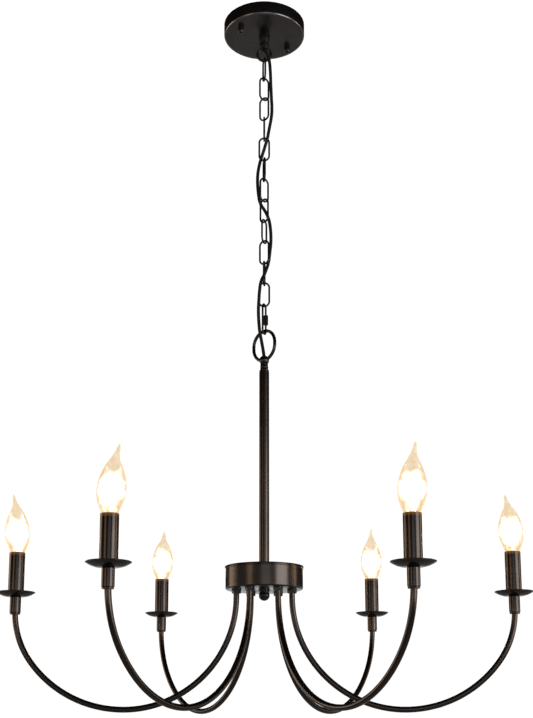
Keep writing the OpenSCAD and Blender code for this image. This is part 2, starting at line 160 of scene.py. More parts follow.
def rounded(outline, steps=5):
    """Rounds the corners of a closed outline. Each corner is (x, y, radius)."""
    made = []
    count = len(outline)
    for i, (x, y, radius) in enumerate(outline):
        here = Vector((x, y))
        if radius <= 0:
            made.append((x, y))
            continue
        back = Vector(outline[i - 1][:2]) - here
        ahead = Vector(outline[(i + 1) % count][:2]) - here
        half = back.angle(ahead) / 2
        reach = min(radius / math.tan(half), CORNER_SHARE * back.length, CORNER_SHARE * ahead.length)
        start = here + back.normalized() * reach
        end = here + ahead.normalized() * reach
        for k in range(steps + 1):
            t = k / steps
            made.append(tuple(start * (1 - t) ** 2 + here * 2 * t * (1 - t) + end * t**2))
    return made


def smooth_curve(points, step):
    """Points about step apart on one smooth curve through the given points."""
    points = [Vector(p) for p in points]
    lengths = [(b - a).length for a, b in zip(points, points[1:])]
    slopes = [(points[1] - points[0]) / lengths[0]]
    for i in range(1, len(points) - 1):
        before = (points[i] - points[i - 1]) / lengths[i - 1]
        after = (points[i + 1] - points[i]) / lengths[i]
        slopes.append((before * lengths[i] + after * lengths[i - 1]) / (lengths[i] + lengths[i - 1]))
    slopes.append((points[-1] - points[-2]) / lengths[-1])
    made = []
    for i, length in enumerate(lengths):
        count = max(1, round(length / step))
        for k in range(count):
            t = k / count
            made.append(
                points[i] * (2 * t**3 - 3 * t**2 + 1)
                + slopes[i] * length * (t**3 - 2 * t**2 + t)
                + points[i + 1] * (3 * t**2 - 2 * t**3)
                + slopes[i + 1] * length * (t**3 - t**2)
            )
    made.append(points[-1])
    return made


def along(points):
    """Position, two sideways directions and distance along the curve, for each point."""
    side = Vector((1, 0, 0))
    frames = []
    travelled = 0.0
    for k, p in enumerate(points):
        tangent = (points[min(k + 1, len(points) - 1)] - points[max(k - 1, 0)]).normalized()
        side = (side - tangent * side.dot(tangent)).normalized()
        if k:
            travelled += (p - points[k - 1]).length
        frames.append((p, side.copy(), tangent.cross(side), travelled))
    return frames


def tube_rings(frames, radius_at, sides):
    """Rings round a curve. radius_at takes an angle in radians and the distance along."""
    rings = []
    for p, u, v, s in frames:
        ring = []
        for i in range(sides):
            a = 2 * math.pi * i / sides
            ring.append(p + (u * math.cos(a) + v * math.sin(a)) * radius_at(a, s))
        rings.append(ring)
    return rings


# ---- materials ----

NOISE_ROUGHNESS = 0.55


def new_material(name):
    material = bpy.data.materials.new(name)
    material.use_nodes = True
    return material, material.node_tree, material.node_tree.nodes["Principled BSDF"]


def add_node(tree, kind, **values):
    node = tree.nodes.new(kind)
    for key, value in values.items():
        setattr(node, key, value)
    return node


def place_axes(tree, output):
    """The X, Y and Z sockets of one of the texture coordinates."""
    place = add_node(tree, "ShaderNodeTexCoord")
    split = add_node(tree, "ShaderNodeSeparateXYZ")
    tree.links.new(place.outputs[output], split.inputs[0])
    return split.outputs


def object_noise(tree, scale, detail, stretch=(1, 1, 1)):
    """Noise in the piece's own frame, in cycles per metre, stretched by axis."""
    place = add_node(tree, "ShaderNodeTexCoord")
    mapping = add_node(tree, "ShaderNodeMapping")
    mapping.inputs["Scale"].default_value = stretch
    noise = add_node(tree, "ShaderNodeTexNoise")
    noise.inputs["Scale"].default_value = scale
    noise.inputs["Detail"].default_value = detail
    noise.inputs["Roughness"].default_value = NOISE_ROUGHNESS
    tree.links.new(place.outputs["Object"], mapping.inputs["Vector"])
    tree.links.new(mapping.outputs["Vector"], noise.inputs["Vector"])
    return noise.outputs["Fac"]


def spread(tree, value, low, high, to_low, to_high):
    """Maps value from low..high to to_low..to_high, clamped."""
    node = add_node(tree, "ShaderNodeMapRange")
    for socket, number in zip(("From Min", "From Max", "To Min", "To Max"), (low, high, to_low, to_high)):
        node.inputs[socket].default_value = number
    tree.links.new(value, node.inputs["Value"])
    return node.outputs["Result"]


def vary(tree, noise, to_low, to_high, low=0.3, high=0.7):
    """Maps noise, which mostly stays between low and high, to to_low..to_high."""
    return spread(tree, noise, low, high, to_low, to_high)


def blend_colour(tree, factor, first, second):
    """Blends two colours, each a tuple or a socket."""
    node = add_node(tree, "ShaderNodeMix", data_type="RGBA")
    tree.links.new(factor, node.inputs["Factor"])
    for socket, colour in ((node.inputs[6], first), (node.inputs[7], second)):
        if isinstance(colour, tuple):
            socket.default_value = (*colour, 1)
        else:
            tree.links.new(colour, socket)
    return node.outputs[2]


def arithmetic(tree, operation, *values):
    """One sum on values that are numbers or sockets."""
    node = add_node(tree, "ShaderNodeMath", operation=operation)
    for socket, value in zip(node.inputs, values):
        if isinstance(value, (int, float)):
            socket.default_value = value
        else:
            tree.links.new(value, socket)
    return node.outputs[0]


def height_over(tree, foot_z, span):
    """Height over foot_z as a share of span."""
    return spread(tree, place_axes(tree, "Object")["Z"], foot_z, foot_z + span, 0, 1)


def number_ramp(tree, value, stops):
    """Runs straight from stop to stop, each a (value, result)."""
    ramp = add_node(tree, "ShaderNodeValToRGB")
    ramp.color_ramp.elements.remove(ramp.color_ramp.elements[1])
    ramp.color_ramp.elements[0].position = stops[0][0]
    for position, _ in stops[1:]:
        ramp.color_ramp.elements.new(position)
    for element, (_, shade) in zip(ramp.color_ramp.elements, stops):
        element.color = (shade, shade, shade, 1)
    tree.links.new(value, ramp.inputs["Fac"])
    return ramp.outputs["Color"]


def bump(tree, height, distance, strength):
    node = add_node(tree, "ShaderNodeBump")
    node.inputs["Distance"].default_value = distance
    node.inputs["Strength"].default_value = strength
    tree.links.new(height, node.inputs["Height"])
    return node.outputs["Normal"]


def painted_metal(name, dark, warm, roughness, metallic, speckle=0.003 * MM, specular=0.5):
    """Satin finish: a dark coat whose tone drifts a little, with fine spray grain."""
    material, tree, shader = new_material(name)
    drift = vary(tree, object_noise(tree, scale=30, detail=3), 0, 1, low=0.35)
    tree.links.new(blend_colour(tree, drift, dark, warm), shader.inputs["Base Color"])
    grain = object_noise(tree, scale=1400, detail=2)
    tree.links.new(vary(tree, grain, roughness - 0.02, roughness + 0.03), shader.inputs["Roughness"])
    tree.links.new(bump(tree, grain, distance=speckle, strength=0.5), shader.inputs["Normal"])
    shader.inputs["Metallic"].default_value = metallic
    shader.inputs["Specular IOR Level"].default_value = specular
    shader.inputs["Coat Weight"].default_value = 0.1
    shader.inputs["Coat Roughness"].default_value = 0.3
    return material


def bright_metal(name, colour, tarnish, roughness):
    """Bare or plated metal with drawn lines and a little tarnish."""
    material, tree, shader = new_material(name)
    patches = vary(tree, object_noise(tree, scale=120, detail=4), 0, 1, low=0.4, high=0.75)
    tree.links.new(blend_colour(tree, patches, colour, tarnish), shader.inputs["Base Color"])
    lines = object_noise(tree, scale=700, detail=3, stretch=(1, 1, 0.15))
    tree.links.new(vary(tree, lines, roughness - 0.06, roughness + 0.1), shader.inputs["Roughness"])
    tree.links.new(bump(tree, lines, distance=0.02 * MM, strength=0.5), shader.inputs["Normal"])
    shader.inputs["Metallic"].default_value = 1.0
    return material


def plastic(name, colour, shade, roughness):
    """Moulded plastic with a fine mould grain and faint colour drift."""
    material, tree, shader = new_material(name)
    drift = vary(tree, object_noise(tree, scale=90, detail=3), 0, 1, low=0.35)
    tree.links.new(blend_colour(tree, drift, colour, shade), shader.inputs["Base Color"])
    grain = object_noise(tree, scale=1800, detail=3)
    tree.links.new(vary(tree, grain, roughness - 0.05, roughness + 0.08), shader.inputs["Roughness"])
    tree.links.new(bump(tree, grain, distance=0.04 * MM, strength=0.6), shader.inputs["Normal"])
    return material


def braided_jacket(name, yarn, worn):
    """Woven jacket: yarn colour drift and fibre fuzz over the braid that the mesh carries."""
    material, tree, shader = new_material(name)
    fibres = object_noise(tree, scale=3200, detail=3, stretch=(1, 1, 0.4))
    wear = vary(tree, fibres, 0, 1, low=0.35, high=0.75)
    tree.links.new(blend_colour(tree, wear, yarn, worn), shader.inputs["Base Color"])
    tree.links.new(vary(tree, fibres, 0.55, 0.8), shader.inputs["Roughness"])
    tree.links.new(bump(tree, fibres, distance=0.06 * MM, strength=0.7), shader.inputs["Normal"])
    shader.inputs["Specular IOR Level"].default_value = 0.2
    shader.inputs["Sheen Weight"].default_value = 0.02
    shader.inputs["Sheen Roughness"].default_value = 0.4
    return material


# How far from facing the eye the white core ends, by height above the foot of the glass in millimetres.
CORE_EDGE = [
    (0, 0.06), (8, 0.1), (17, 0.2), (24, 0.4), (30, 0.66), (36, 0.55),
    (42, 0.4), (48, 0.34), (53, 0.34), (58, 0.42), (62, 0.2),
]
CORE_SPAN = 70  # the height of glass that the edge is laid over
CORE_SOFT = 0.15
CORE_MOTTLE = 0.26  # how far the glass's flaws move the core's edge
TONGUE_LOW = 47  # lowest point of the amber tongue under the tip
TONGUE_RISE = 24  # how much higher it starts at the rim
TONGUE_SOFT = 2.4
TONGUE_MOTTLE = 0.16  # share of the core's mottle that its edge takes
CORE_WHITE = (1.0, 0.93, 0.78)
RIM_GOLDS = ((0.8, 0.5, 0.2), (0.84, 0.58, 0.3))
TIP_GOLDS = ((0.78, 0.54, 0.27), (0.88, 0.76, 0.53))
CORE_TINT, AMBER_TINT = (0.5, 0.48, 0.42), (0.05, 0.03, 0.01)
CORE_GLOW, AMBER_GLOW = 2.0, 0.95
CORE_ALPHA, AMBER_ALPHA = 0.16, 0.4


def lamp_glass(name, foot_z):
    """Clear glass lit from inside: a white core, amber towards the rim and in a tongue under the tip."""
    material, tree, shader = new_material(name)
    height = height_over(tree, foot_z, CORE_SPAN * MM)
    facing = add_node(tree, "ShaderNodeLayerWeight").outputs["Facing"]
    flaws = object_noise(tree, scale=115, detail=3)
    flaws = vary(tree, flaws, -CORE_MOTTLE, CORE_MOTTLE, low=0.32, high=0.68)
    edge = number_ramp(tree, height, [(z / CORE_SPAN, turned_away) for z, turned_away in CORE_EDGE])
    past_edge = arithmetic(tree, "ADD", arithmetic(tree, "SUBTRACT", facing, edge), flaws)
    rim = spread(tree, past_edge, -CORE_SOFT, CORE_SOFT, 0, 1)
    start = arithmetic(tree, "MULTIPLY", facing, TONGUE_RISE / CORE_SPAN)
    ragged = arithmetic(tree, "MULTIPLY", flaws, TONGUE_MOTTLE)
    above = arithmetic(tree, "ADD", arithmetic(tree, "SUBTRACT", height, start), ragged)
    low, high = (TONGUE_LOW - TONGUE_SOFT) / CORE_SPAN, (TONGUE_LOW + TONGUE_SOFT) / CORE_SPAN
    tongue = spread(tree, above, low, high, 0, 1)
    amber = arithmetic(tree, "MAXIMUM", rim, tongue)
    drift = vary(tree, object_noise(tree, scale=120, detail=2), 0, 1)
    rim_gold, tip_gold = blend_colour(tree, drift, *RIM_GOLDS), blend_colour(tree, drift, *TIP_GOLDS)
    colour = blend_colour(tree, amber, CORE_WHITE, blend_colour(tree, tongue, rim_gold, tip_gold))
    tree.links.new(colour, shader.inputs["Emission Color"])
    tree.links.new(spread(tree, amber, 0, 1, CORE_GLOW, AMBER_GLOW), shader.inputs["Emission Strength"])
    tree.links.new(spread(tree, amber, 0, 1, CORE_ALPHA, AMBER_ALPHA), shader.inputs["Alpha"])
    tree.links.new(blend_colour(tree, amber, CORE_TINT, AMBER_TINT), shader.inputs["Base Color"])
    ripples = object_noise(tree, scale=300, detail=2)
    tree.links.new(vary(tree, ripples, 0.02, 0.07), shader.inputs["Roughness"])
    shader.inputs["IOR"].default_value = 1.47
    return material


PAINTED_GLOW_REACH = 5 * MM  # how far under its rim the painted glow on a sleeve reaches
PAINTED_GLOW_STRENGTH = 0.16
PAINTED_GLOW_COLOUR = (1.0, 0.4, 0.09)


def sleeve_with_painted_glow(name, dark, warm, roughness, metallic, top):
    """The satin finish with a painted glow: warm emission on the last millimetres under the rim stands in for the
    lamp's light.
    """
    material = painted_metal(name, dark, warm, roughness, metallic)
    tree = material.node_tree
    shader = tree.nodes["Principled BSDF"]
    # painted glow: emission that rises towards the rim, standing in for light from the lamp above
    share = height_over(tree, top - PAINTED_GLOW_REACH, PAINTED_GLOW_REACH)
    tree.links.new(arithmetic(tree, "MULTIPLY", share, PAINTED_GLOW_STRENGTH), shader.inputs["Emission Strength"])
    shader.inputs["Emission Color"].default_value = (*PAINTED_GLOW_COLOUR, 1)
    return material


def glowing(name, dull, bright, strength):
    """Lit filament with brighter and duller places along it."""
    material, tree, shader = new_material(name)
    ripples = object_noise(tree, scale=900, detail=2)
    tree.links.new(blend_colour(tree, ripples, dull, bright), shader.inputs["Emission Color"])
    tree.links.new(vary(tree, ripples, strength * 0.8, strength * 1.2), shader.inputs["Emission Strength"])
    shader.inputs["Base Color"].default_value = (1.0, 0.8, 0.35, 1)
    shader.inputs["Roughness"].default_value = 0.5
    return material


# Two tones, roughness and metallic of each painted finish.
BRONZE = ((0.03, 0.024, 0.02), (0.04, 0.03, 0.023), 0.22, 0.95)
CANOPY_GREY = ((0.11, 0.1, 0.096), (0.14, 0.127, 0.122), 0.25, 1.0)
CHAIN_BLACK = ((0.004, 0.0037, 0.0034), (0.008, 0.0072, 0.0064), 0.3, 0.0)
GROUND_GREEN = ((0.02, 0.22, 0.07), (0.05, 0.4, 0.12), 0.3, 0.8)
GLASS_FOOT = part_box("bulb_glass_1")[0].z
SLEEVE_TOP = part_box("candle_sleeves")[1].z

SLOTS = {
    "dark_bronze_paint": painted_metal("dark_bronze_paint", *BRONZE),
    "canopy_paint": painted_metal("canopy_paint", *CANOPY_GREY, speckle=0.02 * MM),
    "black_chain_finish": painted_metal("black_chain_finish", *CHAIN_BLACK, specular=0.25),
    "zinc_steel": bright_metal("zinc_steel", (0.62, 0.63, 0.66), (0.45, 0.44, 0.42), 0.3),
    "green_steel": painted_metal("green_steel", *GROUND_GREEN),
    "lead_insulation": plastic("lead_insulation", (0.8, 0.79, 0.75), (0.68, 0.66, 0.6), 0.45),
    "wire_nut_plastic": plastic("wire_nut_plastic", (0.85, 0.3, 0.04), (0.7, 0.22, 0.03), 0.35),
    "cord_jacket": braided_jacket("cord_jacket", (0.004, 0.0037, 0.0034), (0.011, 0.01, 0.009)),
    "brass": bright_metal("brass", (0.76, 0.56, 0.25), (0.55, 0.38, 0.16), 0.28),
    "socket_plastic": plastic("socket_plastic", (0.75, 0.7, 0.6), (0.66, 0.6, 0.5), 0.5),
    "lamp_base_brass": bright_metal("lamp_base_brass", (0.82, 0.64, 0.3), (0.66, 0.48, 0.2), 0.22),
    "bulb_glass": lamp_glass("bulb_glass", GLASS_FOOT),
}
FILAMENT = glowing("lit_filament", (1.0, 0.6, 0.26), (1.0, 0.86, 0.6), 30)
# the sleeves' finish, with a painted glow of lamp light under the rim
SLEEVE_PAINTED_GLOW = sleeve_with_painted_glow("sleeve_paint_painted_glow", *BRONZE, SLEEVE_TOP)

RECORD_SLOTS = {p["node"]: p["material_slot"] for p in frame["record"]["subparts"]}
for node_name, node in NODES.items():
    for material_slot in node.material_slots:
        material_slot.material = SLOTS[RECORD_SLOTS[node_name]]

# ---- supply cord ----

# Route of the cord from inside the canopy down into the hub, in millimetres.
CORD_ROUTE = [
    (0, 0, -7), (0, 0, -18), (0, 0, -30), (0.1, -0.1, -37), (0.5, -0.6, -40.3), (1.8, -2.1, -43.6),
    (4.2, -4.2, -49), (6.6, -5.2, -56), (8, -5.2, -64), (8.9, -4.8, -74), (9.5, -4.4, -86), (9.8, -4.2, -98),
    (10.3, -4, -110), (10.8, -3.6, -122), (11.4, -3, -134), (11.2, -2.8, -146), (9.9, -3.5, -157),
    (8, -4.3, -168), (6.3, -4.8, -178), (4.9, -4.6, -186), (2.4, -2.6, -194), (0, 0, -201),
    (-2.5, 2.4, -208), (-5, 4.5, -215), (-7, 4.8, -223), (-8.6, 4, -232), (-9.6, 2.8, -242),
    (-9.8, 1.6, -253), (-9.2, 0.8, -264), (-8.2, 0.3, -274), (-7, 0, -282), (-4.4, 0, -289.5),
    (0.2, 0, -297), (4.3, 0.3, -305), (7, 0.3, -313), (8.8, 0.2, -324), (9.7, 0.2, -337),
    (9.5, 0.5, -350), (8.2, 1, -362), (6.9, 1.9, -373), (5.2, 1.9, -381.5), (2.6, 1, -389.5),
    (0, 0, -397), (-3.2, -2.7, -404.5), (-5.4, -4.6, -413), (-6.6, -4.8, -423), (-7.5, -4.6, -436),
    (-8.2, -4.1, -450), (-8, -3.6, -462), (-7.4, -3.3, -472), (-6.5, -2.9, -482),
    (-4.8, -1.8, -492), (-3, -0.9, -502), (-1.3, -0.3, -512), (0, 0, -523), (0, 0, -535),
    (0, 0, -690), (0, 0, -832),
]
CORD_D = 4.8 * MM
CORD_SIDES, CORD_CREASE = 24, 60
CORD_STEP = 0.9 * MM  # from one ring of the jacket to the next
BRAID_YARNS = 8
BRAID_PITCH = 7 * MM
BRAID_DEPTH = 0.035  # share of the radius
STEM_MOUTH = -530 * MM  # below this the cord runs straight and hidden, without its braid
HIDDEN_STEP = 8  # one ring in this many is kept there


def braid_radius(angle, distance):
    """Radius of the woven jacket: yarns cross in two directions."""
    turn = 2 * math.pi * distance / BRAID_PITCH
    left = math.sin(BRAID_YARNS / 2 * angle + turn * BRAID_YARNS / 4)
    right = math.sin(BRAID_YARNS / 2 * angle - turn * BRAID_YARNS / 4)
    return CORD_D / 2 * (1 - BRAID_DEPTH + BRAID_DEPTH * max(abs(left), abs(right)))


def make_cord():
    """One piece for each hinge that the cord passes, and one in the stem that rides with the fixture."""
    route = [Vector(p) * MM for p in CORD_ROUTE]
    frames = along(smooth_curve(route, CORD_STEP))
    hinges = [j for j in frame["joints"] if j["name"].endswith("_swing")]
    heights = [j["pos_m"][2] for j in hinges]
    cuts = [(a + b) / 2 for a, b in zip(heights, heights[1:])] + [STEM_MOUTH]
    start = 0
    for number, (hinge, z, cut) in enumerate(zip(hinges, heights, cuts), 1):
        end = next(k for k, f in enumerate(frames) if f[0].z <= cut)
        name = f"supply_cord_{number:02d}"
        rings = tube_rings(frames[start : end + 1], braid_radius, CORD_SIDES)
        mesh = rings_mesh(name, rings, clean=False)
        piece = add_piece(name, mesh, SLOTS["cord_jacket"], CORD_CREASE)
        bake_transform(piece)
        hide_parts("supply_cord")
        start = end
    name = f"supply_cord_{len(hinges) + 1:02d}"
    rings = tube_rings(frames[start::HIDDEN_STEP], lambda angle, distance: CORD_D / 2, CORD_SIDES)
    piece = add_piece(name, rings_mesh(name, rings), SLOTS["cord_jacket"], CORD_CREASE)
    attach(piece, "fixture")
    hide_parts("supply_cord")


make_cord()

# ---- chain ----

WELD_LENGTH = 3.2 * MM
WELD_PROUD = 0.14 * MM
WELD_SINK = 0.05 * MM
WELD_BLUNTNESS = 0.6  # below 1 its ends rise steeply
WELD_LUMPS = 0.35  # how uneven the swelling is round the wire
WELD_SKEW = 0.1 * MM
WELD_SIDES, WELD_STEPS = 24, 10
LINK_WIRE_R = 1.4 * MM


def make_weld(number):
    """The butt weld on one side of a link: a low uneven swelling round the wire."""
    node = NODES[f"chain_link_{number:02d}"]
    low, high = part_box(node.name)
    middle = (low.z + high.z) / 2
    widest = max((v.co for v in node.data.vertices), key=lambda c: Vector((c.x, c.y)).length)
    outward = Vector((widest.x, widest.y, 0)).normalized()
    axis = Vector((widest.x, widest.y, 0)) - outward * LINK_WIRE_R
    rings = []
    for k in range(WELD_STEPS + 1):
        t = k / WELD_STEPS
        swell = WELD_PROUD * math.sin(math.pi * t) ** WELD_BLUNTNESS
        ring = []
        for i in range(WELD_SIDES):
            a = 2 * math.pi * i / WELD_SIDES
            r = LINK_WIRE_R - WELD_SINK + swell * (1 + WELD_LUMPS * math.sin(3 * a + number))
            z = middle + (t - 0.5) * WELD_LENGTH + WELD_SKEW * math.sin(2 * a + number)
            ring.append(axis + Vector((r * math.cos(a), r * math.sin(a), z)))
        rings.append(ring)
    name = f"link_weld_{number:02d}"
    piece = add_piece(name, rings_mesh(name, rings), SLOTS["black_chain_finish"])
    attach(piece, f"link_{number:02d}")


for link in range(1, LINKS + 1):
    make_weld(link)

# ---- turned pieces ----


def turned(name, outline, foot, body, replaced, slot="dark_bronze_paint", material=None, sides=96):
    """A piece turned from a closed outline. Outline corners are (radius, height, rounding) in millimetres."""
    piece = add_piece(name, lathe_mesh(name, rounded(outline), foot, sides), material or SLOTS[slot])
    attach(piece, body)
    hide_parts(replaced)


def size_of(node):
    """Half width and height of a node in millimetres."""
    low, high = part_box(node)
    return (high.x - low.x) / 2 / MM, (high.z - low.z) / MM


def foot_of(node, x=0.0, y=0.0):
    return Vector((x, y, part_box(node)[0].z))


def make_canopy():
    r, h = size_of("canopy")
    bore, sheet, corner = 4.8, 1.2, 3.5
    outline = [
        (bore, 0, 0.2), (r, 0, corner), (r, h, 0.3), (r - sheet, h, 0.3),
        (r - sheet, sheet, corner - sheet), (bore, sheet, 0.2),
    ]
    turned("canopy_pan", outline, foot_of("canopy"), "canopy_body", "canopy", "canopy_paint")


def make_hub():
    """The drum with a bead round its mouth, and the lid with a neck under its edge and a skirt inside."""
    bore, sheet, corner, bead, band = 3, 1.5, 2.2, 0.8, 1.4
    widest, h = size_of("hub_cup")
    r = widest - bead
    outline = [
        (bore, 0, 0.2), (r, 0, corner), (r, h - band, 0.3), (widest, h - band, 0.6), (widest, h, 0.6),
        (r - sheet, h, 0.3), (r - sheet, sheet, corner - sheet), (bore, sheet, 0.2),
    ]
    turned("hub_drum", outline, foot_of("hub_cup"), "fixture", "hub_cup")
    edge, top = size_of("hub_cover")
    bore, lid, step, play = 4.8, 1.2, 1, 0.1
    neck, skirt_in, skirt_out = r - step, r - 3 * step, r - sheet - play
    under, neck_low = top - lid, top - lid - step
    outline = [
        (bore, under, 0.1), (skirt_in, under, 0.3), (skirt_in, 0, 0.3), (skirt_out, 0, 0.3),
        (skirt_out, neck_low, 0.2), (neck, neck_low, 0.2), (neck, under, 0.2), (edge, under, 0.5),
        (edge, top, 0.5), (bore, top, 0.1),
    ]
    turned("hub_lid", outline, foot_of("hub_cover"), "fixture", "hub_cover")


PAN_R = 26.3
PAN_SHEET, PAN_FLAT, PAN_BORE = 1, 9, 4.2
PAN_STEPS = 14
ROLL_R = 0.75  # the roll is a little thicker than the sheet


def pan_outline(depth):
    """A shallow bowl with a rolled rim, from its floor at height 0."""
    run = PAN_R - PAN_FLAT
    bowl = (run**2 + depth**2) / (2 * depth)
    turn = math.asin((run - PAN_SHEET / 2) / bowl)

    def on_bowl(radius, angle):
        return PAN_FLAT + radius * math.sin(angle), bowl - radius * math.cos(angle)

    angles = [turn * k / PAN_STEPS for k in range(PAN_STEPS)]
    under = [on_bowl(bowl, angle) for angle in angles]
    x, y = on_bowl(bowl - PAN_SHEET / 2, turn)
    roll_angles = [math.radians(degrees) for degrees in range(-100, 221, 20)]
    roll = [(x + ROLL_R * math.cos(a), y + ROLL_R * math.sin(a)) for a in roll_angles]
    over = [on_bowl(bowl - PAN_SHEET, angle) for angle in reversed(angles)]
    return [(PAN_BORE, 0, 0), *[(*p, 0) for p in under + roll + over], (PAN_BORE, PAN_SHEET, 0)]


def make_candle(number, x, y):
    """Cup under the pan, the pan with its rolled rim, and the sleeve."""
    _, h = size_of("candle_cups")
    bore, foot, waist, body, shoulder = 4.3, 7.0, 6.6, 7.5, 6.8
    outline = [
        (bore, 0, 0.2), (foot, 0, 0.5), (foot, 1.5, 0.3), (waist, 1.7, 0.2), (waist, 2.1, 0.2),
        (body, 2.4, 0.4), (body, h - 0.8, 0.5), (shoulder, h, 0.3), (bore, h, 0.2),
    ]
    turned(f"candle_cup_{number}", outline, foot_of("candle_cups", x, y), "fixture", "candle_cups", sides=64)
    _, h = size_of("drip_pans")
    turned(f"drip_pan_{number}", pan_outline(h), foot_of("drip_pans", x, y), "fixture", "drip_pans")
    _, h = size_of("candle_sleeves")
    inside, outside = 9.95, 10.75
    outline = [(inside, 0, 0.15), (outside, 0, 0.3), (outside, h, 0.35), (inside, h, 0.35)]
    name, foot = f"candle_sleeve_{number}", foot_of("candle_sleeves", x, y)
    turned(name, outline, foot, "fixture", "candle_sleeves", material=SLEEVE_PAINTED_GLOW, sides=72)


make_canopy()
make_hub()

# ---- lamps ----

# Shape of the flame-tip glass: height above its foot, sideways lean and radius, in millimetres.
FLAME = [
    (0, 0, 6), (3, 0, 8.4), (5.5, 0, 9.75), (9.5, 0, 11.2), (15, 0, 13.4), (22, 0.5, 15.6),
    (30, 1.1, 16.9), (37, 1.6, 16.7), (45.5, 2.1, 15.5), (51, 2.4, 14), (56, 2.8, 12.1), (61, 3.2, 10),
    (66, 3.9, 7.3), (71.5, 5.2, 4.7), (76.5, 7, 3.1), (81, 8.3, 2.3), (84.5, 9, 1.6), (86.2, 9.3, 0.7),
]
GLASS_WALL = 0.7
FLAME_SIDES = 48


def flame_ring(foot, lean, z, offset, radius):
    middle = foot + lean * offset * MM + Vector((0, 0, z * MM))
    return [middle + polar(radius * MM, 360 * i / FLAME_SIDES) for i in range(FLAME_SIDES)]


def make_glass(number, foot, lean):
    """A thin shell: up the outside to the closed tip, then down the inside."""
    outer = smooth_curve(FLAME, 1.2)
    inner = [Vector((z, offset, r - GLASS_WALL)) for z, offset, r in reversed(outer) if r > 2 * GLASS_WALL]
    inner[0].z = 0.2  # the hollow ends almost in a point
    rings = [flame_ring(foot, lean, *p) for p in outer]
    tip = rings[-1][0].lerp(rings[-1][FLAME_SIDES // 2], 0.5)
    rings.append([tip] * FLAME_SIDES)
    walls = [flame_ring(foot, lean, *p) for p in inner]
    name = f"bulb_glass_shell_{number}"
    piece = add_piece(name, rings_mesh(name, rings + walls, loop=True), SLOTS["bulb_glass"], 80)
    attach(piece, f"bulb_glass_{number}")
    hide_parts(f"bulb_glass_{number}")


ROD_PROFILE = [(0, 0.6), (0.02, 1), (0.5, 1), (0.98, 1), (1, 0.6)]  # place along a rod, share of its radius


def straight_rod(start, end, radius, sides=16):
    """The rings of a rod whose ends are drawn in a little."""
    frames = along([start.lerp(end, place) for place, _ in ROD_PROFILE])
    rings = tube_rings(frames, lambda angle, distance: radius, sides)
    return [
        [middle + (p - middle) * share for p in ring]
        for ring, (middle, *_), (_, share) in zip(rings, frames, ROD_PROFILE)
    ]


def joined_rods(name, rods):
    """One mesh of several rods, each capped at both ends."""
    points, faces = [], []
    for rings in rods:
        sides, start = len(rings[0]), len(points)
        points += [p for ring in rings for p in ring]
        for k in range(len(rings) - 1):
            a, b = start + k * sides, start + (k + 1) * sides
            faces += [(a + i, a + (i + 1) % sides, b + (i + 1) % sides, b + i) for i in range(sides)]
        faces.append(tuple(start + i for i in reversed(range(sides))))
        faces.append(tuple(start + (len(rings) - 1) * sides + i for i in range(sides)))
    return mesh_of(name, points, faces)


STICKS = 4
STICK_R, WIRE_R = 0.75 * MM, 0.22 * MM
STICK_FOOT, STICK_TOP = (4.6, 17), (3.2, 43)  # distance from the lamp's axis and height
WIRE_FOOT = (1.4, 12)
WIRE_KNOT = (0.8, 0, 47)  # where the wires over the sticks meet
GLASS_STEM = [
    (0, -1.5), (5.2, -1.5), (5.4, 0.5), (4.4, 2.5), (2.8, 6), (2.1, 10), (2.2, 12.6), (1.6, 14), (0, 14.4),
]


def make_filament(number, foot, heading):
    """Four lit sticks between the wires of a glass stem."""
    body = f"bulb_glass_{number}"
    knot = foot + Vector(WIRE_KNOT) * MM
    sticks, wires = [], []
    for k in range(STICKS):
        turn = heading + 360 / STICKS * (k + 0.5)
        root, low, high = [foot + polar(r * MM, turn, z * MM) for r, z in (WIRE_FOOT, STICK_FOOT, STICK_TOP)]
        sticks.append(straight_rod(low, high, STICK_R))
        wires.append(straight_rod(root, low, WIRE_R, 8))
        wires.append(straight_rod(high, knot, WIRE_R, 8))
    lit = add_piece(f"bulb_filament_{number}", joined_rods("filament", sticks), FILAMENT)
    held = joined_rods("support", wires)
    support = add_piece(f"bulb_support_{number}", held, SLOTS["zinc_steel"])
    stem = lathe_mesh("stem", GLASS_STEM, foot, 32)
    mount = add_piece(f"bulb_stem_{number}", stem, SLOTS["bulb_glass"], 60)
    for piece in (lit, support, mount):
        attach(piece, body)


THREAD_R, THREAD_PITCH, THREAD_DEPTH = 5.8 * MM, 2.54 * MM, 0.45 * MM
THREAD_FOOT = 6 * MM  # over the foot of the contact
THREAD_SIDES, THREAD_STEPS = 48, 84
FADE_IN, FADE_OUT = 2 * MM, 3.5 * MM  # how far the thread takes to reach its depth and to run out
CONE_OUTLINE = [(0, 6.05, 0), (5.3, 6.05, 0.3), (2.4, 1.9, 0.4), (0, 1.9, 0)]
CONTACT_OUTLINE = [(0, 2, 0), (2, 2, 0.2), (1.8, 0.5, 0.5), (0, 0, 0)]


